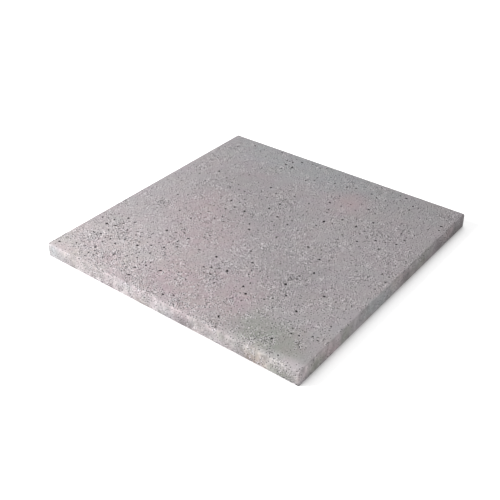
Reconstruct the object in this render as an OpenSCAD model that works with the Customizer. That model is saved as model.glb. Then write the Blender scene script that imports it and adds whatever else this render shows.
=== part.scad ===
// Pool coping corner: one square slab of wet-cast concrete that turns the rim of a pool
// through a right angle. Its two pool sides face -X and -Y and meet at the pool corner;
// its two joint sides face +X and +Y and butt against the straight coping stones.
// Units are millimetres. The origin is the middle of the bed face, +Z up.

/* [Slab] */
// Length along X, from the pool side to the joint side
slab_length_x = 1000; // [300:10:1200]
// Length along Y, from the pool side to the joint side
slab_length_y = 1000; // [300:10:1200]
// Thickness from the bed face to the walking face
slab_thickness = 50; // [30:1:80]

/* [Arrises] */
// Radius of the top arris along the two pool sides
pool_arris_radius = 6; // [2:0.5:14]
// Radius of the top arris along the two joint sides
joint_arris_radius = 2; // [0.5:0.5:6]
// Radius of the arris round the bed face
bed_arris_radius = 2; // [0.5:0.5:6]
// Radius, in plan, of the upright edge at the pool corner
pool_corner_radius = 4; // [1:0.5:20]
// Radius, in plan, of the other three upright edges
joint_corner_radius = 2; // [0.5:0.5:10]

/* [Hidden] */
$fn = 96;

// What a rounded corner takes away from a square one: the corner is at the origin and the
// body lies towards +X and +Y. overcut carries the cut a little past both sides.
module corner_waste(radius) {
    overcut = 1;
    difference() {
        translate([-overcut, -overcut]) square(radius + overcut);
        translate([radius, radius]) circle(r = radius);
    }
}

// A length x height rectangle from the origin, with a radius of its own at each corner.
// "near" is the end at 0 and "far" the end at length.
module rounded_section(length, height, near_bottom, near_top, far_bottom, far_top) {
    difference() {
        square([length, height]);
        corner_waste(near_bottom);
        translate([0, height]) mirror([0, 1]) corner_waste(near_top);
        translate([length, 0]) mirror([1, 0]) corner_waste(far_bottom);
        translate([length, height]) mirror([1, 0]) mirror([0, 1]) corner_waste(far_top);
    }
}

// Cross-section from a pool side, at 0, to the joint side opposite it.
module pool_to_joint_section(length) {
    rounded_section(length, slab_thickness,
        bed_arris_radius, pool_arris_radius, bed_arris_radius, joint_arris_radius);
}

// Outline of the slab from above, with the pool corner at the origin.
module plan_outline() {
    rounded_section(slab_length_x, slab_length_y,
        pool_corner_radius, joint_corner_radius, joint_corner_radius, joint_corner_radius);
}

// The slab is what three bars have in common: one carries the X cross-section along Y, one
// carries the Y cross-section along X, and the outline from above trims both upright. The
// arrises of neighbouring sides meet in a mitre at each corner, as they do in the mould.
module coping_corner() {
    color("#b3acab")
    translate([-slab_length_x / 2, -slab_length_y / 2, 0])
    intersection() {
        translate([0, slab_length_y, 0]) rotate([90, 0, 0])
            linear_extrude(slab_length_y) pool_to_joint_section(slab_length_x);
        rotate([90, 0, 90])
            linear_extrude(slab_length_x) pool_to_joint_section(slab_length_y);
        linear_extrude(slab_thickness) plan_outline();
    }
}

coping_corner();
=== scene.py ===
# %% [markdown]
# # Pool coping corner
# One slab of wet-cast concrete that turns the rim of a pool through a right angle. The exact
# solid comes in as a fixed frame. This lesson puts a cast skin over it: the same size, but with
# softened arrises, air holes and sand in its face.

# %% Load the frame
import math

import bmesh
import bpy
import numpy as np
from mathutils import Matrix, Vector


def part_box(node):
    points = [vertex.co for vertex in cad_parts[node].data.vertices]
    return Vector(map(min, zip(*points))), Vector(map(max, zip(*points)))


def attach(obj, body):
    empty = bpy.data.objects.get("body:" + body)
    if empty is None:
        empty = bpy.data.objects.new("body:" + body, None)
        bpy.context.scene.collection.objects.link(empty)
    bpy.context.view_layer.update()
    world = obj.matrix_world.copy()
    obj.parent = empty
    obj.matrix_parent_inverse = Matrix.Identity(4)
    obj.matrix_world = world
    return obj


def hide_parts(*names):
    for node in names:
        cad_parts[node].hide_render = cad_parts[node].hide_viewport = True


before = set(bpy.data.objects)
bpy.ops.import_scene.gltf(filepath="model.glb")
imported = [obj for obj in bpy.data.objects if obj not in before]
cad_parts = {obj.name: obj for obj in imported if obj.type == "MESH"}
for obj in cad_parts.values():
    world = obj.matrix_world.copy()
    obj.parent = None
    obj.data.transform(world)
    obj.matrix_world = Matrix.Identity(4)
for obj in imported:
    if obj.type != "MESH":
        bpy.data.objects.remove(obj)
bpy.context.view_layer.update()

# %% [markdown]
# ## Sizes
# The slab's outline comes from the frame. The arris radii repeat those of the solid: the two pool
# sides, which face -X and -Y, have the rounder arris that bare feet and hands meet. The two joint
# sides face +X and +Y and are nearly square, so that the next stone butts up to them.

# %% Sizes, in metres
MM = 0.001
SLAB_LOW, SLAB_HIGH = (np.array(corner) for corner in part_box("coping_corner"))
TOP = SLAB_HIGH[2]
POOL_ARRIS = 6 * MM
JOINT_ARRIS = 2 * MM
BED_ARRIS = 2 * MM
POOL_CORNER = 4 * MM
JOINT_CORNER = 2 * MM
print("slab", (SLAB_HIGH - SLAB_LOW) / MM, "mm")

# %% [markdown]
# ## A noise made of numbers
# A cast face is never quite flat, and the unevenness has to match where two patches of the skin
# meet. So it is worked out from each point's place in space. The random numbers come from a hash
# of whole numbers, which gives the same slab every time.

# %% Lattice noise
def lattice_noise(points, pitch, seed):
    """Smooth noise between -1 and 1 for an array of points.

    Space is cut into cubes with sides of pitch. Each cube corner gets a number from a hash of its
    three whole coordinates. A point takes the mean of its cube's eight corners, each weighted
    along every axis by 3t^2 - 2t^3, where t is how far across the cube the point lies.
    """
    place = np.asarray(points, float) / pitch
    cell = np.floor(place).astype(np.int64)
    t = place - cell
    weight = t * t * (3 - 2 * t)
    total = np.zeros(place.shape[:-1])
    for corner in np.ndindex(2, 2, 2):
        k = (cell + corner).astype(np.uint64)
        h = k[..., 0] * np.uint64(374761393) + k[..., 1] * np.uint64(668265263)
        h = (h + k[..., 2] * np.uint64(2246822519) + np.uint64(seed * 3266489917)) & np.uint64(0xFFFFFFFF)
        h = ((h ^ (h >> np.uint64(13))) * np.uint64(1274126177)) & np.uint64(0xFFFFFFFF)
        h = ((h ^ (h >> np.uint64(16))) * np.uint64(2654435761)) & np.uint64(0xFFFFFFFF)
        h = h ^ (h >> np.uint64(15))
        share = np.where(corner, weight, 1 - weight).prod(-1)
        total += share * (h / 2.0**31 - 1)
    return total


trial = lattice_noise(np.random.default_rng(1).uniform(-1, 1, (2000, 3)), 0.05, 3)
print("noise mean", trial.mean().round(3), "spread", trial.std().round(3))

# %% [markdown]
# ## The walking face
# The flat of the walking face is a grid of points 4 mm apart. Its four edges are where the arrises
# start, so it stops one arris radius short of each side.

# %% Walking face grid
CELLS = 248
flat_low = SLAB_LOW[:2] + POOL_ARRIS
flat_high = SLAB_HIGH[:2] - JOINT_ARRIS
across = np.linspace(flat_low[0], flat_high[0], CELLS + 1)
along = np.linspace(flat_low[1], flat_high[1], CELLS + 1)
face_x, face_y = np.meshgrid(across, along)
face = np.stack([face_x, face_y, np.full_like(face_x, TOP)], axis=-1)
face_out = np.zeros_like(face)
face_out[..., 2] = 1
print("walking face", face.shape, "pitch", round((across[1] - across[0]) / MM, 3), "mm")

# %% [markdown]
# ## The sides
# A side is one profile carried along its edge: over the top arris, down the wall and under the bed
# arris. At a corner the columns fan out from the corner point of the flat face, so the arrises meet
# in a mitre and the upright edge still gets its own small radius. Each side's patch runs on to the
# first column of the next side, where the two are merged later.

# %% Columns along the outline
CORNERS = [(0, 0), (1, 0), (1, 1), (0, 1)]
SIDE_ARRIS = [POOL_ARRIS, JOINT_ARRIS, JOINT_ARRIS, POOL_ARRIS]
SIDE_OUT = np.array([(0, -1), (1, 0), (0, 1), (-1, 0)], float)
UPRIGHT_RADIUS = [POOL_CORNER, JOINT_CORNER, JOINT_CORNER, JOINT_CORNER]
flat_corner = np.array([[(flat_low, flat_high)[i][0], (flat_low, flat_high)[j][1]] for i, j in CORNERS])
slab_corner = np.array([[(SLAB_LOW, SLAB_HIGH)[i][0], (SLAB_LOW, SLAB_HIGH)[j][1]] for i, j in CORNERS])
FAN_STEPS = 4


def side_columns(side):
    """Columns of one straight side: top point, outline point, normal and arris radius.

    The top points run evenly from this side's first flat corner to its second, and each outline
    point is its top point moved out by the arris radius.
    """
    t = np.linspace(0, 1, CELLS + 1)[:, None]
    top = flat_corner[side] * (1 - t) + flat_corner[(side + 1) % 4] * t
    normal = np.repeat(SIDE_OUT[side : side + 1], CELLS + 1, axis=0)
    return top, top + SIDE_ARRIS[side] * normal, normal, np.full(CELLS + 1, SIDE_ARRIS[side])


def fan_columns(side):
    """Columns that turn the corner after this side: the same four things.

    All of them start at one flat corner. The outline points follow an arc of the corner's own
    radius, and the arris radius goes evenly from this side's to the next one's.
    """
    end = (side + 1) % 4
    turn = np.linspace(0, math.pi / 2, FAN_STEPS + 1)[:, None]
    normal = SIDE_OUT[side] * np.cos(turn) + SIDE_OUT[end] * np.sin(turn)
    centre = slab_corner[end] - UPRIGHT_RADIUS[end] * (SIDE_OUT[side] + SIDE_OUT[end])
    top = np.repeat(flat_corner[end : end + 1], FAN_STEPS + 1, axis=0)
    radius = SIDE_ARRIS[side] + (SIDE_ARRIS[end] - SIDE_ARRIS[side]) * turn[:, 0] / (math.pi / 2)
    return top, centre + UPRIGHT_RADIUS[end] * normal, normal, radius


def patch_columns(side):
    """All the columns of one side's patch: the side, its corner and the next side's first column."""
    after = [part[:1] for part in side_columns((side + 1) % 4)]
    parts = zip(side_columns(side), fan_columns(side), after, strict=True)
    return [np.concatenate(part) for part in parts]


print("columns in a side's patch", len(patch_columns(0)[0]))

# %% Rows down the profile
ARC_STEPS = 6
WALL_STEPS = 11
BED_STEPS = 3


def profile(top, outline, normal, radius):
    """Points and outward normals of a patch, rows by columns.

    Over the arris the point goes out by the sine and down by one minus the cosine of an angle that
    runs from 0 to 90 degrees. The wall is even steps straight down. Under the bed arris it goes in
    by one minus the cosine and down by the sine, and ends flat on the bed.
    """
    turn = np.linspace(0, math.pi / 2, ARC_STEPS + 1)[:, None]
    flat = top + (outline - top) * np.sin(turn)[..., None]
    level = TOP - radius * (1 - np.cos(turn))
    rows = [(flat, level, normal * np.sin(turn)[..., None], np.cos(turn) + 0 * radius)]
    t = np.linspace(0, 1, WALL_STEPS + 1)[1:, None]
    level = (TOP - radius) * (1 - t) + (SLAB_LOW[2] + BED_ARRIS) * t
    rows.append((outline + 0 * level[..., None], level, normal + 0 * level[..., None], 0 * level))
    turn = np.linspace(0, math.pi / 2, BED_STEPS + 1)[1:, None]
    flat = outline - BED_ARRIS * (1 - np.cos(turn))[..., None] * normal
    level = SLAB_LOW[2] + BED_ARRIS * (1 - np.sin(turn)) + 0 * radius
    rows.append((flat, level, normal * np.cos(turn)[..., None], -np.sin(turn) + 0 * radius))
    points = np.concatenate([np.concatenate([row[0], row[1][..., None]], axis=-1) for row in rows])
    return points, np.concatenate([np.concatenate([row[2], row[3][..., None]], axis=-1) for row in rows])


walls = []
for side in range(4):
    points, out = profile(*patch_columns(side))
    walls.append({"points": points, "out": out, "pore": np.zeros(points.shape[:2])})
top_skin = {"points": face, "out": face_out, "pore": np.zeros(face.shape[:2])}
print("each side", walls[0]["points"].shape, "rows by columns by axes")

# %% [markdown]
# ## Air holes
# Air that can't leave the mix while the mould is vibrated stays against its face, and a light
# sandblast opens it up as small dark holes. They could be painted on, but a real hole has a crisp
# rim and a shadow. The grid already has the points: the square rings of points round a grid point
# are drawn in and turned into round rings, and the inner ones are pushed down.

# %% Pull grid rings into holes
# For a hole of one, two or three rings of points: each ring's share of the radius and of the depth,
# from the middle outwards.
RING_SHAPE = {
    1: ([0, 1.0], [1.0, 0]),
    2: ([0, 0.62, 1.0], [1.0, 0.82, 0]),
    3: ([0, 0.45, 0.82, 1.0], [1.0, 0.93, 0.66, 0]),
}
HOLE_SHIFT = 1.3 * MM
# In radians, and a shade over a full turn, which does no harm to a random direction.
FULL_TURN = 6.3


def round_offsets(reach):
    """The grid offsets of a square block, with each one's ring number and angle on its ring.

    Ring k of the block has 8k points. A point's angle is 45 degrees times how far along its side of
    the square it lies, counted from the middle of that side, so a ring's angles are evenly spaced.
    """
    step = np.arange(-reach, reach + 1)
    down, right = (grid.ravel() for grid in np.meshgrid(step, step, indexing="ij"))
    ring = np.maximum(abs(down), abs(right))
    side_on = abs(right) >= abs(down)
    part = np.where(side_on, down, right) / np.maximum(ring, 1) * math.pi / 4
    on_side = np.where(right >= 0, part, math.pi - part)
    off_side = np.where(down >= 0, 1, -1) * math.pi / 2 - part * np.sign(down)
    return down, right, ring, np.where(side_on, on_side, off_side)


def press_holes(skin, at, reach, right_way, down_way, radius, depth):
    """Turns the block of grid points round each chosen node into a hole.

    A point on ring k of a hole goes to the hole's middle, plus its radius times the ring's share in
    the direction of the point's angle, minus the depth times the ring's share along the outward
    normal. The radius is multiplied by one plus two waves round the hole, so that no outline is a
    true circle, and each hole is shifted a little, so that none sits on the grid.
    """
    down, right, ring, angle = round_offsets(reach)
    spread, sink = (np.array(shares)[ring] for shares in RING_SHAPE[reach])
    count = len(at[0])
    oval = rng.uniform(0.05, 0.30, (count, 1)) * np.cos(2 * angle - rng.uniform(0, FULL_TURN, (count, 1)))
    lump = rng.uniform(0.02, 0.16, (count, 1)) * np.cos(3 * angle - rng.uniform(0, FULL_TURN, (count, 1)))
    away = radius[:, None] * spread * (1 + oval + lump)
    shift = rng.uniform(-HOLE_SHIFT, HOLE_SHIFT, (count, 2))
    middle = skin["points"][at] + shift[:, :1] * right_way + shift[:, 1:] * down_way
    new = middle[:, None] + (away * np.cos(angle))[..., None] * right_way
    new = new + (away * np.sin(angle))[..., None] * down_way
    new = new - (depth[:, None] * sink)[..., None] * skin["out"][at][:, None]
    block = (at[0][:, None] + down, at[1][:, None] + right)
    skin["points"][block] = new
    # The inner rings get the mask of painted shade that makes the holes almost black.
    skin["pore"][block] = np.where(ring < reach, 1.0, 0.0)


print("points in a hole", {reach: len(round_offsets(reach)[0]) for reach in RING_SHAPE})

# %% Choose where the holes go
def widest(values, reach):
    """The greatest value within reach steps of each grid point, along rows and then columns."""
    for axis in (0, 1):
        pad = [(reach, reach) if axis == i else (0, 0) for i in (0, 1)]
        padded = np.pad(values, pad, constant_values=-1)
        steps = np.arange(values.shape[axis])
        moved = [np.take(padded, steps + k, axis=axis) for k in range(2 * reach + 1)]
        values = np.max(moved, axis=0)
    return values


def pit(skin, free, share, sizes, right_way, down_way):
    """Presses holes of several kinds, largest first, and takes their blocks out of free.

    Each grid point gets a random number. One that has the greatest number within apart steps of it
    becomes a hole with a chance of part times share. Radii are spread as a triangle, with most near
    the least, and a hole's depth is about its radius.
    """
    for reach, apart, part, least, most in sizes:
        number = np.where(free, rng.random(free.shape), 0)
        chosen = (number == widest(number, apart)) & free & (rng.random(free.shape) < part * share)
        at = np.nonzero(chosen)
        radius = rng.triangular(least, least, most, len(at[0])) * MM
        depth = radius * rng.uniform(0.8, 1.25, len(radius))
        press_holes(skin, at, reach, right_way, down_way, radius, depth)
        free &= widest(chosen.astype(float), 2 * reach) <= 0
        print(len(radius), "holes of", least, "to", most, "mm radius")


def blast(points):
    """How hard the sandblast bit, mostly from 0.2 to 1.5.

    Here x is the share of the way from the left pool side and y that from the right one. The trend
    falls off with x as exp(-x / 0.25) does, and at the far end of x it grows a little towards the
    right pool side. Bells take some of it off at the pool corner and along all four sides, and a
    narrow one adds a gritty strip at the front of the left pool side. The passes were uneven, so
    the trend is multiplied by exp of a broad, a middling and a fine noise. A small amount comes off
    at the end, so that the calm patches stay calm.
    """
    x, y = ((points[..., axis] - SLAB_LOW[axis]) / (SLAB_HIGH - SLAB_LOW)[axis] for axis in (0, 1))
    trend = 0.59 + 0.43 * np.exp(-x / 0.25) + 0.12 * x * (1 - 2 * y)
    trend = trend - 0.36 * np.exp(-((x / 0.32) ** 2) - (y / 0.22) ** 2)
    near_side = np.minimum(np.minimum(x, 1 - x), np.minimum(y, 1 - y))
    trend = trend * (1 - 0.20 * np.exp(-((near_side / 0.03) ** 2)))
    trend = trend + 1.30 * np.exp(-((x / 0.016) ** 2) - (y / 0.20) ** 2)
    uneven = 0.42 * lattice_noise(points, 150 * MM, 568) + lattice_noise(points, 40 * MM, 1082)
    uneven = uneven + lattice_noise(points, 15 * MM, 1083)
    return np.clip(0.96 * trend * np.exp(uneven) - 0.05, 0.03, 2.2)


def airy(points):
    """How much of the trapped air shows at each point, from 0 to 1.5.

    It is the blast, which opens the holes, times 0.2 plus a broad and a finer noise. Where these
    noises are low there are no holes at all, so the holes gather in loose flocks.
    """
    flock = 2.2 * lattice_noise(points, 100 * MM, 13) + 2.4 * lattice_noise(points, 26 * MM, 14)
    return np.clip(blast(points) * (0.2 + flock), 0.0, 1.5)


rng = np.random.default_rng(52)
free = np.zeros(face.shape[:2], bool)
free[4:-4, 4:-4] = True
# Each kind of hole: rings of points, least steps apart, share kept, least and greatest radius in mm.
FACE_HOLES = [
    (3, 6, 0.50, 3.6, 5.4),
    (2, 4, 0.55, 2.8, 4.2),
    (2, 4, 0.35, 2.6, 3.8),
    (1, 2, 0.40, 2.5, 3.5),
    (1, 2, 0.40, 2.2, 3.1),
    (1, 2, 0.50, 1.8, 2.6),
    (1, 2, 0.50, 1.2, 2.0),
    (1, 2, 0.40, 1.1, 1.9),
]
pit(top_skin, free, airy(face), FACE_HOLES, np.array([1.0, 0, 0]), np.array([0, 1.0, 0]))

# %% Holes in the walls
# The walls have fewer holes than the walking face, and smaller ones.
WALL_AIR = 0.3
WALL_HOLES = [(2, 4, 0.4, 1.5, 2.4), (1, 3, 1.0, 0.9, 1.7)]
for side, wall in enumerate(walls):
    free = np.zeros(wall["pore"].shape, bool)
    free[ARC_STEPS + 2 : ARC_STEPS + WALL_STEPS - 1, 6 : CELLS - 6] = True
    right_way = np.array([-SIDE_OUT[side][1], SIDE_OUT[side][0], 0])
    pit(wall, free, WALL_AIR, WALL_HOLES, right_way, np.array([0, 0, -1.0]))

# %% [markdown]
# ## Unevenness
# The face bows a little where the mix has settled, the walls are slightly wavy from the mould, and
# the arrises are worn back unevenly by stripping and blasting. Every point only moves inwards along
# its normal, so the slab stays within its true size, and the foot of the walls stays on the bed.

# %% Uneven skin
def from_arris(points, side):
    """How far each point is from the sharp line where a side would meet the walking face."""
    axis = 0 if SIDE_OUT[side][0] else 1
    limit = (SLAB_LOW, SLAB_HIGH)[int(SIDE_OUT[side][axis] > 0)][axis]
    return np.hypot(points[..., axis] - limit, points[..., 2] - TOP)


def wear(points):
    """How far each point lies below the true face: a slow swell, a finer ripple and the worn arris.

    The arris is worn most on its line, and the wear falls off as a bell curve on both sides of it.
    Near the bed everything fades to nothing over 6 mm by 3t^2 - 2t^3.
    """
    amount = 0.35 * MM * (0.5 + 0.5 * lattice_noise(points, 130 * MM, 21))
    amount = amount + 0.15 * MM * (0.5 + 0.5 * lattice_noise(points, 24 * MM, 22))
    for side, arris in enumerate(SIDE_ARRIS):
        reach, depth = (9 * MM, 1.5 * MM) if arris == POOL_ARRIS else (4 * MM, 0.5 * MM)
        chipped = 0.5 + 0.33 * lattice_noise(points, 34 * MM, 30 + side)
        chipped = chipped + 0.17 * lattice_noise(points, 11 * MM, 40 + side)
        bell = np.exp(-((from_arris(points, side) / reach) ** 2))
        amount = amount + depth * chipped**1.5 * bell
    above_bed = np.clip((points[..., 2] - SLAB_LOW[2]) / (6 * MM), 0, 1)
    return amount * above_bed * above_bed * (3 - 2 * above_bed)


for skin in (top_skin, *walls):
    skin["place"] = skin["points"].copy()
    back = wear(skin["points"])
    skin["points"] = skin["points"] - skin["out"] * back[..., None]
    print("worn back by up to", round(back.max() / MM, 2), "mm")

# %% [markdown]
# ## The bed face
# The underside lies on mortar and is flat. It is a coarse grid, joined to the fine edge of the walls
# by one ring of triangles.

# %% Bed face
FINE = 8
COARSE = CELLS // FINE
BED_INSET = 30 * MM
bed_x = np.linspace(flat_low[0] + BED_INSET, flat_high[0] - BED_INSET, COARSE + 1)
bed_y = np.linspace(flat_low[1] + BED_INSET, flat_high[1] - BED_INSET, COARSE + 1)
bed = np.stack([*np.meshgrid(bed_x, bed_y), np.full((COARSE + 1, COARSE + 1), SLAB_LOW[2])], axis=-1)
bed_loop = np.concatenate([bed[0, :-1], bed[:-1, -1], bed[-1, :0:-1], bed[:0:-1, 0]])
foot_loop = np.concatenate([wall["points"][-1, :-1] for wall in walls])
print("bed grid", bed.shape, "its loop", len(bed_loop), "loop at the foot of the walls", len(foot_loop))

# %% Faces of each patch
def grid_faces(rows, columns, start, flip):
    """Four-cornered faces of a grid whose points are numbered row by row from start."""
    number = start + np.arange(rows * columns).reshape(rows, columns)
    quads = np.stack([number[:-1, :-1], number[:-1, 1:], number[1:, 1:], number[1:, :-1]], axis=-1)
    return quads.reshape(-1, 4)[:, :: -1 if flip else 1]


def ring_faces(foot_start, bed_start):
    """Triangles between the fine foot of the walls and the coarse loop of the bed.

    Each coarse step faces eight fine ones: four triangles hang on its first point, one lies between,
    and four hang on its second point. At a corner the fan's steps hang on the corner point.
    """
    faces = []
    fine = np.arange(CELLS).reshape(COARSE, FINE)
    column = 0
    for side in range(4):
        first = bed_start + side * COARSE + np.arange(COARSE)
        second = bed_start + (side * COARSE + np.arange(COARSE) + 1) % (4 * COARSE)
        step = foot_start + column + fine
        hub = np.where(np.arange(FINE) < FINE // 2, first[:, None], second[:, None])
        faces.append(np.stack([step, hub, step + 1], axis=-1).reshape(-1, 3))
        faces.append(np.stack([step[:, FINE // 2], first, second], axis=-1))
        column += CELLS + 1
        turn = foot_start + (column - 1 + np.arange(FAN_STEPS + 2)) % len(foot_loop)
        after = foot_start + (column + np.arange(FAN_STEPS + 2)) % len(foot_loop)
        faces.append(np.stack([turn, np.full_like(turn, second[-1]), after], axis=-1))
        column += FAN_STEPS + 1
    return np.concatenate(faces)


print("faces in the walking face", len(grid_faces(*face.shape[:2], 0, False)))

# %% [markdown]
# ## A flat map of the slab
# The skin is cut open like a box: the walking face is one square, the four sides are strips above
# it, and the bed face takes the narrow space that is left. The map gives almost all of its area to
# what is seen.

# %% Lay the patches flat
FACE_SHARE = 0.80
STRIP = (1 - FACE_SHARE) / 4
slab_size = (SLAB_HIGH - SLAB_LOW)[:2]
top_skin["map"] = (top_skin["place"][..., :2] - SLAB_LOW[:2]) / slab_size * FACE_SHARE
for side, wall in enumerate(walls):
    steps = np.linalg.norm(np.diff(wall["place"][:, 0], axis=0), axis=-1)
    run_down = np.concatenate([[0], np.cumsum(steps)]) / steps.sum()
    run_along = np.linspace(0.004, 0.996, wall["points"].shape[1])
    v = FACE_SHARE + STRIP * (side + 0.04 + 0.92 * (1 - run_down))
    wall["map"] = np.stack(np.meshgrid(run_along * FACE_SHARE, v), axis=-1)


def bed_map(points):
    """The bed face squeezed into the narrow space beside the walking face."""
    share = (points[..., :2] - SLAB_LOW[:2]) / slab_size
    return np.array([FACE_SHARE + 0.01, 0.005]) + share * np.array([0.98 - FACE_SHARE, 0.99])


print("strip for a side", STRIP, "high, face", FACE_SHARE, "of the map")

# %% [markdown]
# ## A second map, in metres
# The pin holes are a flat pattern, and it has to keep its true size where it runs over an arris. So
# each wall is folded up level with the walking face, and a place on it is counted in metres down
# from the top edge. Squeezing the pattern onto the first map would stretch every hole in the walls.

# %% Fold the walls level
top_skin["unrolled"] = top_skin["place"][..., :2]
for side, wall in enumerate(walls):
    steps = np.linalg.norm(np.diff(wall["place"], axis=0, prepend=wall["place"][:1]), axis=-1)
    top_edge = wall["place"][:1, :, :2]
    wall["unrolled"] = top_edge + np.cumsum(steps, axis=0)[..., None] * SIDE_OUT[side]
bed_unrolled = [0.5 * grid[..., :2] + np.array([0, 2.0]) for grid in (bed, bed_loop, foot_loop)]
print("unrolled side reaches", np.abs(walls[0]["unrolled"][..., 1]).max().round(3), "m from the middle")

# %% [markdown]
# ## The colour of the concrete
# Wet-cast concrete with pale sand is a warm grey with a breath of pink. It clouds where the mix
# dried at different speeds. The pool sides have marks of their own: whitish laitance, which is the
# weak cement skin that water brings up, dark damp patches, greenish ones where water stood, and a
# rusty one from the soil. A few named tones, each laid down as soft patches, are enough for all of
# it. The colour is worked out at every point of the skin, and the material reads it there.

# %% Colours
def linear(hex_colour):
    """An sRGB hex colour as linear red, green and blue."""
    parts = np.array([int(hex_colour[i : i + 2], 16) for i in (1, 3, 5)]) / 255
    return np.where(parts <= 0.04045, parts / 12.92, ((parts + 0.055) / 1.055) ** 2.4)


CEMENT = linear("#a49ea0")
# The tones that the same cement takes where it dried, stood damp or was stained.
TONES = {
    "laitance": "#c8c2c4",
    "pale": "#b6acac",
    "pink": "#aa9b9e",
    "grey": "#999496",
    "cool": "#9c9ea0",
    "green": "#8e9088",
    "rust": "#ac988e",
    "damp": "#777273",
}
print("cement", CEMENT.round(3), "and", len(TONES), "tones")

# %% Marks
# Each mark: side, place along it and height above the bed, half its length and height, all in mm,
# and its tone. On the face the two places are along the right pool side and the left one.
MARKS = [
    ("left", 960, 25, 45, 25, "cool"),
    ("left", 875, 25, 40, 25, "pale"),
    ("left", 770, 38, 40, 14, "damp"),
    ("left", 640, 40, 40, 12, "cool"),
    ("left", 575, 22, 45, 25, "pale"),
    ("left", 500, 30, 50, 25, "laitance"),
    ("left", 415, 18, 32, 20, "damp"),
    ("left", 360, 42, 25, 10, "pale"),
    ("left", 300, 25, 30, 25, "grey"),
    ("left", 268, 40, 12, 14, "green"),
    ("left", 200, 20, 12, 25, "damp"),
    ("left", 150, 25, 30, 25, "rust"),
    ("left", 60, 20, 45, 25, "green"),
    ("left", 8, 25, 14, 25, "pale"),
    ("right", 15, 35, 25, 18, "pale"),
    ("right", 90, 18, 35, 18, "green"),
    ("right", 170, 25, 40, 25, "pink"),
    ("right", 235, 22, 22, 22, "green"),
    ("right", 420, 25, 70, 25, "cool"),
    ("right", 525, 35, 30, 15, "pale"),
    ("right", 590, 15, 35, 18, "damp"),
    ("right", 690, 20, 40, 22, "green"),
    ("right", 810, 22, 30, 22, "damp"),
    ("right", 870, 35, 30, 15, "pink"),
    ("right", 945, 22, 45, 25, "damp"),
    ("face", 6, 100, 20, 120, "laitance"),
    ("face", 6, 400, 20, 220, "pale"),
    ("face", 60, 800, 130, 160, "pale"),
    ("face", 90, 500, 110, 140, "pink"),
    ("face", 200, 340, 80, 60, "pink"),
    ("face", 390, 620, 90, 80, "pink"),
    ("face", 500, 740, 90, 60, "pink"),
    ("face", 830, 350, 55, 50, "pink"),
    ("face", 50, 150, 60, 90, "green"),
    ("face", 320, 290, 110, 100, "grey"),
    ("face", 570, 560, 130, 120, "grey"),
    ("face", 700, 730, 110, 110, "grey"),
    ("face", 930, 600, 80, 300, "cool"),
]
print(len(MARKS), "marks")

# %% Colour of the skin
def mark_share(place, mark):
    """How strongly one mark colours each point: a bell, exp of minus the squared distances.

    Each distance is counted in the mark's half size that way. A mark on a wall fades over the
    first 6 mm inwards, and a mark on the face over the top 22 mm of the walls.
    """
    side, first, second, half_first, half_second, _ = mark
    x, y, z = (place[..., axis] / MM for axis in range(3))
    if side == "left":
        away = ((y - first) / half_first) ** 2 + ((z - second) / half_second) ** 2 + (x / 6) ** 2
    elif side == "right":
        away = ((x - first) / half_first) ** 2 + ((z - second) / half_second) ** 2 + (y / 6) ** 2
    else:
        below = (TOP / MM - z) / 22
        away = ((x - first) / half_first) ** 2 + ((y - second) / half_second) ** 2 + below**2
    return np.exp(-away)


def skin_colour(skin):
    """The concrete's colour at every point.

    It is the mean of the marks' tones, each weighted by its share there, with plain cement
    counting for 0.2. The place of each point wanders by a slow noise first, so that no mark has a
    smooth outline. The mean is multiplied by exp of four things: streaks and mottle on the sides,
    painted shade in blotches at their foot, a paler arris on the pool sides, and pink and warm tints.
    The paler arris is wear, and on the right pool side also a painted highlight against the shade
    where that arris turns away from the lamp. All but the arris are stronger near the left pool side.
    """
    place = skin["place"] - SLAB_LOW
    wander = [lattice_noise(skin["place"], 38 * MM, 60 + axis) for axis in range(3)]
    place = place + 9 * MM * np.stack(wander, axis=-1) * np.array([1, 1, 0.5])
    shares = np.stack([mark_share(place, mark) for mark in MARKS], axis=-1)
    colours = np.array([linear(TONES[mark[-1]]) for mark in MARKS])
    colour = (shares @ colours + 0.2 * CEMENT) / (shares.sum(-1, keepdims=True) + 0.2)
    run = skin["place"] * np.array([1, 1, 0.3])
    streak = lattice_noise(run, 16 * MM, 71) + 0.9 * lattice_noise(run, 6 * MM, 73)
    mottle = lattice_noise(skin["place"], 11 * MM, 72)
    # Painted shade: the walls are darker, in blotches, over their lowest 15 mm or so next to the bed.
    foot = np.exp(-((place[..., 2] / (15 * MM)) ** 2))
    foot_shade_blotches = np.clip(lattice_noise(run, 30 * MM, 78) + 0.5 * lattice_noise(run, 9 * MM, 79), -0.2, 1)
    upright = np.hypot(skin["out"][..., 0], skin["out"][..., 1])
    rough = np.clip(1.2 - 0.4 * place[..., 0] / 0.3, 0.8, 1.2)
    pink = 1.8 * lattice_noise(skin["place"], 70 * MM, 74)
    pink = pink + 2.9 * lattice_noise(skin["place"], 32 * MM, 76)
    warm = 1.2 * lattice_noise(skin["place"], 70 * MM, 75)
    warm = warm + 2.2 * lattice_noise(skin["place"], 32 * MM, 77)
    tint = pink[..., None] * [0.010, -0.006, 0.002] + warm[..., None] * [0.003, 0.002, -0.010]
    tint = tint * rough[..., None]
    # A paler arris on the pool sides: wear on both, and on the right one also a painted highlight that
    # offsets the shade where its rounded arris turns away from the lamp.
    bells = [np.exp(-((from_arris(skin["place"], side) / (5 * MM)) ** 2)) for side in (0, 3)]
    worn = 0.24 * bells[0] + 0.04 * bells[1]
    marks_and_foot_shade = 0.23 * streak + 0.17 * mottle - 0.5 * foot * foot_shade_blotches
    return colour * np.exp((upright * rough * marks_and_foot_shade + worn)[..., None] + tint)


middle = np.array([0, MARKS[0][1], MARKS[0][2]]) * MM
print("share of the first mark at its own middle", mark_share(middle, MARKS[0]).round(3))

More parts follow.
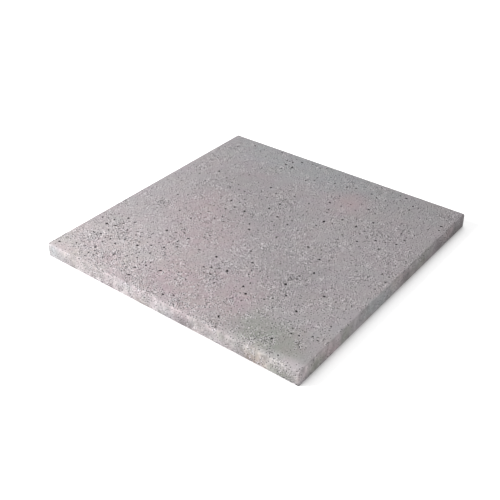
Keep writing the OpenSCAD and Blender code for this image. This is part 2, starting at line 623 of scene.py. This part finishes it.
# %% Colour and blast at every point
# The nozzle was held over the walking face, so the pool sides got about three fifths of the blast
# and the joint sides about a third.
for skin in (top_skin, *walls):
    skin["colour"] = skin_colour(skin)
    upright = np.hypot(skin["out"][..., 0], skin["out"][..., 1])
    on_joint = np.clip(skin["out"][..., :2].max(-1), 0, 1)
    skin["blast"] = blast(skin["place"]) * (1.05 - 0.45 * upright - 0.25 * on_joint)
    print("mean colour", skin["colour"].mean((0, 1)).round(3))

# %% [markdown]
# ## One closed mesh
# The patches meet in rows of points that lie on each other. They are merged, and a count of the
# open edges shows whether the skin is closed.

# %% Join the patches
grids = [(top_skin["points"], False), *((wall["points"], True) for wall in walls), (bed, True)]
starts = np.cumsum([0] + [grid[..., 0].size for grid, _ in grids] + [len(bed_loop)])
numbered = zip(grids, starts)
quads = np.concatenate([grid_faces(*grid.shape[:2], start, flip) for (grid, flip), start in numbered])
triangles = ring_faces(starts[-1], starts[-2])
points = np.concatenate([grid.reshape(-1, 3) for grid, _ in grids] + [bed_loop, foot_loop])


def all_places(name, on_bed):
    """The places on one map of every point: those of the patches, then the three parts of the bed."""
    parts = [skin[name] for skin in (top_skin, *walls)] + on_bed
    return np.concatenate([part.reshape(-1, 2) for part in parts])


def carried(name, on_bed):
    """One value for every point.

    It is that of the patches, then on_bed for the bed, and the walls' own value at their foot.
    """
    width = top_skin[name].reshape(face[..., 0].size, -1).shape[1]
    parts = [skin[name].reshape(-1, width) for skin in (top_skin, *walls)]
    parts.append(np.broadcast_to(on_bed, (bed[..., 0].size + len(bed_loop), width)))
    parts += [wall[name][-1, :-1].reshape(-1, width) for wall in walls]
    return np.concatenate(parts)


corner_numbers = np.concatenate([quads.ravel(), triangles.ravel()])
face_starts = np.concatenate([np.arange(len(quads)) * 4, quads.size + np.arange(len(triangles)) * 3])
mesh = bpy.data.meshes.new("coping_corner_cast")
mesh.vertices.add(len(points))
mesh.vertices.foreach_set("co", points.astype(np.float32).ravel())
mesh.loops.add(len(corner_numbers))
mesh.loops.foreach_set("vertex_index", corner_numbers.astype(np.int32))
mesh.polygons.add(len(face_starts))
mesh.polygons.foreach_set("loop_start", face_starts.astype(np.int32))
mesh.update(calc_edges=True)
flat_map = all_places("map", [bed_map(part) for part in (bed, bed_loop, foot_loop)])
for name, places in (("OFBake", flat_map), ("unrolled", all_places("unrolled", bed_unrolled))):
    layer = mesh.uv_layers.new(name=name)
    layer.uv.foreach_set("vector", places[corner_numbers].astype(np.float32).ravel())
for name, on_bed in (("pore", 0.0), ("blast", 0.2)):
    layer = mesh.attributes.new(name, "FLOAT", "POINT")
    layer.data.foreach_set("value", carried(name, on_bed).astype(np.float32).ravel())
cement_colour = np.concatenate([carried("colour", CEMENT), np.ones((len(points), 1))], axis=-1)
layer = mesh.attributes.new("cement_colour", "FLOAT_COLOR", "POINT")
layer.data.foreach_set("color", cement_colour.astype(np.float32).ravel())
print("before merging", len(mesh.vertices), "points", len(mesh.polygons), "faces")

# %% Merge the shared edges and check the skin
sheet = bmesh.new()
sheet.from_mesh(mesh)
bmesh.ops.remove_doubles(sheet, verts=sheet.verts, dist=0.001 * MM)
open_edges = sum(1 for edge in sheet.edges if not edge.is_manifold)
volume = sheet.calc_volume(signed=True)
sheet.to_mesh(mesh)
sheet.free()
mesh.shade_smooth()
mesh.set_sharp_from_angle(angle=math.radians(34))
slab = bpy.data.objects.new("coping_corner_cast", mesh)
bpy.context.scene.collection.objects.link(slab)
triangle_count = sum(len(polygon.vertices) - 2 for polygon in mesh.polygons)
print("triangles", triangle_count, "open edges", open_edges, "litres", round(volume * 1000, 3))

# %% [markdown]
# ## Wet-cast concrete, lightly sandblasted
# Sandblasting takes the cement skin off and leaves a matte, dry, gritty face: grains of sand show as
# light and dark specks, and pin holes as dark dots. The grit and the pin holes are much finer than
# the mesh, so they are a pattern in the material that tints the colour and tilts the surface. The
# dark dots are painted shade, standing in for the shadow in holes too small to build.

# %% A node with its settings and links
def add_node(tree, kind, settings=None, links=None):
    """Adds a node. settings gives its properties and inputs, and links its inputs' sources."""
    node = tree.nodes.new(kind)
    for name, value in (settings or {}).items():
        if isinstance(name, str) and hasattr(node, name):
            setattr(node, name, value)
        else:
            node.inputs[name].default_value = value
    for name, source in (links or {}).items():
        tree.links.new(source, node.inputs[name])
    return node


concrete = bpy.data.materials.new("wet_cast_concrete_sandblasted")
concrete.use_nodes = True
tree = concrete.node_tree
tree.nodes.clear()
place = add_node(tree, "ShaderNodeTexCoord").outputs["Object"]
unrolled_place = add_node(tree, "ShaderNodeUVMap", {"uv_map": "unrolled"}).outputs["UV"]
carry = {}
for name in ("pore", "blast", "cement_colour"):
    node = add_node(tree, "ShaderNodeAttribute", {"attribute_name": name})
    carry[name] = node.outputs["Color" if name == "cement_colour" else "Fac"]
print("values carried by the skin", sorted(carry))

# %% Grains and pin holes
# Sand is 0.5 to 2 mm across, too fine to show, so its grains are drawn 2.6 mm across. Pin holes of
# 0.5 to 1 mm are drawn 3 to 5 mm across for the same reason, and the blast has left a narrow pale
# rim round each one. The dark middle of each pin hole is painted shade.
GRAIN = 2.6 * MM
PIN_PITCH = 9.0 * MM
cells = {}
kinds = {}
for name, size, ways, source in (("grain", GRAIN, "3D", place), ("pin", PIN_PITCH, "2D", unrolled_place)):
    settings = {"voronoi_dimensions": ways, "Scale": 1 / size}
    cells[name] = add_node(tree, "ShaderNodeTexVoronoi", settings, {"Vector": source})
    kinds[name] = add_node(tree, "ShaderNodeSeparateColor", links={0: cells[name].outputs["Color"]})
# name: what it reads, from, to, value at from, value at to
RAMPS = {
    "grain_tone": (kinds["grain"].outputs[0], 0.25, 0.75, -0.42, 0.20),
    "pale_grain": (kinds["grain"].outputs[1], 0.86, 0.92, 0.0, 1.0),
    "pin_strength": (kinds["pin"].outputs[0], 0.35, 1.0, 0.0, 2.1),
    "pin_core": (cells["pin"].outputs["Distance"], 0.18, 0.26, -2.2, 0.0),
    "rim_inner": (cells["pin"].outputs["Distance"], 0.27, 0.34, 0.0, 0.80),
    "rim_outer": (cells["pin"].outputs["Distance"], 0.38, 0.48, 1.0, 0.0),
}
tone = {}
for name, (source, start, stop, at_start, at_stop) in RAMPS.items():
    settings = {"From Min": start, "From Max": stop, "To Min": at_start, "To Max": at_stop}
    tone[name] = add_node(tree, "ShaderNodeMapRange", settings, {"Value": source}).outputs[0]
# name: how the two are joined
SUMS = {
    "rim": ("MULTIPLY", "rim_inner", "rim_outer"),
    "pale_rim": ("MULTIPLY", "rim", "pin_strength"),
    "core": ("MULTIPLY", "pin_core", "pin_strength"),
    "dark": ("ADD", "grain_tone", "core"),
    "pale": ("ADD", "pale_grain", "pale_rim"),
    "speck": ("ADD", "dark", "pale"),
    "blasted_dark": ("MULTIPLY", "dark", "blast"),
    "blasted_pale": ("MULTIPLY", "pale", "blast"),
    "rise": ("MULTIPLY", "speck", "blast"),
}
tone["blast"] = carry["blast"]
for name, (operation, first, second) in SUMS.items():
    node = add_node(tree, "ShaderNodeMath", {"operation": operation}, {0: tone[first], 1: tone[second]})
    tone[name] = node.outputs[0]
print("grain", GRAIN / MM, "mm, pin holes", PIN_PITCH / MM, "mm apart")

# %% Speck the cement colour
# A dark speck multiplies the cement colour: a dark grain, or the painted shade of a pin hole. A pale
# one is a grain of bare sand, so it goes towards the sand's own colour, and shows less where the
# cement is pale already.
shade = add_node(tree, "ShaderNodeMath", {"operation": "ADD", 1: 1.0}, {0: tone["blasted_dark"]})
shade = add_node(tree, "ShaderNodeMath", {"operation": "MAXIMUM", 1: 0.04}, {0: shade.outputs[0]})
shade_colour = add_node(tree, "ShaderNodeCombineColor", links={i: shade.outputs[0] for i in range(3)})
darkened = add_node(
    tree,
    "ShaderNodeMix",
    {"data_type": "RGBA", "blend_type": "MULTIPLY", 0: 1.0},
    {6: carry["cement_colour"], 7: shade_colour.outputs[0]},
)
gritty = add_node(
    tree,
    "ShaderNodeMix",
    {"data_type": "RGBA", 7: (*linear("#e0dadd"), 1)},
    {0: tone["blasted_pale"], 6: darkened.outputs[2]},
)

# %% Dark holes
# Little light comes out of an air hole, so the inner part of each hole is painted almost black: painted
# shade, on top of the shadow that the hole casts itself.
painted_hole_shade = add_node(
    tree,
    "ShaderNodeMapRange",
    {"interpolation_type": "SMOOTHSTEP", "From Min": 0.02, "From Max": 0.38},
    {"Value": carry["pore"]},
)
body = add_node(
    tree,
    "ShaderNodeMix",
    {"data_type": "RGBA", 7: (*linear("#1a1716"), 1)},
    {0: painted_hole_shade.outputs[0], 6: gritty.outputs[2]},
)

# %% Relief and shader
bump = add_node(tree, "ShaderNodeBump", {"Strength": 0.7, "Distance": 0.6 * MM}, {"Height": tone["rise"]})
shader = add_node(
    tree,
    "ShaderNodeBsdfPrincipled",
    {"Roughness": 0.9, "IOR": 1.5},
    {"Base Color": body.outputs[2], "Normal": bump.outputs[0]},
)
add_node(tree, "ShaderNodeOutputMaterial", links={"Surface": shader.outputs[0]})
mesh.materials.append(concrete)
print("concrete nodes", len(tree.nodes))

# %% [markdown]
# ## Ride and replace
# The cast skin stands for the slab's exact solid and moves with its one body.

# %% Attach the skin
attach(slab, "root")
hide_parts("coping_corner")
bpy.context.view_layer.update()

# %% [markdown]
# ## Floor
# The slab lies on a white floor, which reaches far enough to meet the horizon in a low view. It is
# an ordinary matt white for the light that falls on the slab. What the camera sees of it gets an
# extra glow, so that it is plain white, and the glow fades within a few centimetres of the slab as
# the slab hides more of the air above the floor. That is a painted contact shadow, darker and
# tighter than the one the lamps cast.

# %% White floor
def what_is_seen(tree):
    """A value that is 1 for what the camera sees and 0 for all other light.

    What shows in a glossy surface or through glass counts as seen, so the three are added up.
    """
    ray = add_node(tree, "ShaderNodeLightPath").outputs
    total = ray["Is Camera Ray"]
    for name in ("Is Glossy Ray", "Is Transmission Ray"):
        settings = {"operation": "ADD", "use_clamp": True}
        total = add_node(tree, "ShaderNodeMath", settings, {0: total, 1: ray[name]}).outputs[0]
    return total


FLOOR_REACH = 40
FLOOR_GAP = 0.05 * MM
floor_corners = [(FLOOR_REACH * i, FLOOR_REACH * j, 0) for i, j in ((-1, -1), (1, -1), (1, 1), (-1, 1))]
floor_mesh = bpy.data.meshes.new("floor")
floor_mesh.from_pydata(floor_corners, [], [(0, 1, 2, 3)])
floor_mesh.transform(Matrix.Translation((0, 0, SLAB_LOW[2] - FLOOR_GAP)))
floor = bpy.data.objects.new("floor", floor_mesh)
bpy.context.scene.collection.objects.link(floor)
floor_paint = bpy.data.materials.new("white_floor")
floor_paint.use_nodes = True
tree = floor_paint.node_tree
tree.nodes.clear()
seen = what_is_seen(tree)
# Ambient occlusion cuts the glow near the slab, which paints the contact shadow on the floor.
close = add_node(tree, "ShaderNodeAmbientOcclusion", {"Distance": 60 * MM, "samples": 16})
ends = {"From Min": 0.5, "From Max": 1.0, "To Min": 1.0, "To Max": 0.0}
hidden = add_node(tree, "ShaderNodeMapRange", ends, {"Value": close.outputs["AO"]})
painted_shadow_depth = add_node(tree, "ShaderNodeMath", {"operation": "POWER", 1: 2.8}, {0: hidden.outputs[0]})
span = {"To Min": 0.75, "To Max": 0.15}
glow_with_painted_shadow = add_node(tree, "ShaderNodeMapRange", span, {"Value": painted_shadow_depth.outputs[0]})
lift = add_node(tree, "ShaderNodeMath", {"operation": "MULTIPLY"}, {0: seen, 1: glow_with_painted_shadow.outputs[0]})
glow = add_node(tree, "ShaderNodeEmission", {"Color": (1, 1, 1, 1)}, {"Strength": lift.outputs[0]})
matt = add_node(tree, "ShaderNodeBsdfDiffuse", {"Color": (0.8, 0.8, 0.8, 1)})
both = add_node(tree, "ShaderNodeAddShader", links={0: glow.outputs[0], 1: matt.outputs[0]})
add_node(tree, "ShaderNodeOutputMaterial", links={"Surface": both.outputs[0]})
floor_mesh.materials.append(floor_paint)
print("floor nodes", len(tree.nodes))

# %% [markdown]
# ## Light and camera
# A large soft lamp stands behind the left pool side, so the face brightens towards it. A small weak
# one keeps the right pool side from going black, and white air all round fills the rest. The air is
# plain white to the camera and a quarter as strong as a light.

# %% Light
world = bpy.data.worlds.new("white_air")
bpy.context.scene.world = world
world.use_nodes = True
tree = world.node_tree
tree.nodes.clear()
seen = what_is_seen(tree)
level = add_node(tree, "ShaderNodeMapRange", {"To Min": 0.25, "To Max": 1.0}, {"Value": seen})
air = add_node(tree, "ShaderNodeBackground", {"Color": (1, 1, 1, 1)}, {"Strength": level.outputs[0]})
add_node(tree, "ShaderNodeOutputWorld", links={"Surface": air.outputs[0]})


def facing(position, direction):
    """The matrix that puts a lamp or camera at position and points it along direction."""
    turn = Vector(direction).to_track_quat("-Z", "Y")
    return Matrix.Translation(position) @ turn.to_matrix().to_4x4()


# name: place in metres, width of the square lamp in metres, watts
LAMPS = {"key_light": ((-2.32, 2.36, 2.44), 1.0, 226), "fill_light": ((-0.82, -2.19, 0.30), 0.6, 10.5)}
for name, (position, width, watts) in LAMPS.items():
    data = bpy.data.lights.new(name, "AREA")
    data.shape = "SQUARE"
    data.size = width
    data.energy = watts
    lamp = bpy.data.objects.new(name, data)
    lamp.matrix_world = facing(position, Vector((0, 0, TOP)) - Vector(position))
    bpy.context.scene.collection.objects.link(lamp)
    print(name, watts, "W")

# %% Camera
CAMERA_PLACE = (-1.79666, -1.33990, 1.49665)
CAMERA_AIM = (0.65222, 0.50492, -0.56539)
camera_data = bpy.data.cameras.new("camera")
camera_data.sensor_width = 36
camera_data.lens = 57.2
camera = bpy.data.objects.new("camera", camera_data)
bpy.context.scene.collection.objects.link(camera)
camera.matrix_world = facing(CAMERA_PLACE, CAMERA_AIM)
bpy.context.scene.camera = camera
bpy.context.scene.view_settings.view_transform = "Standard"
print("camera", [round(v, 4) for v in camera.matrix_world.translation], "lens", camera_data.lens)
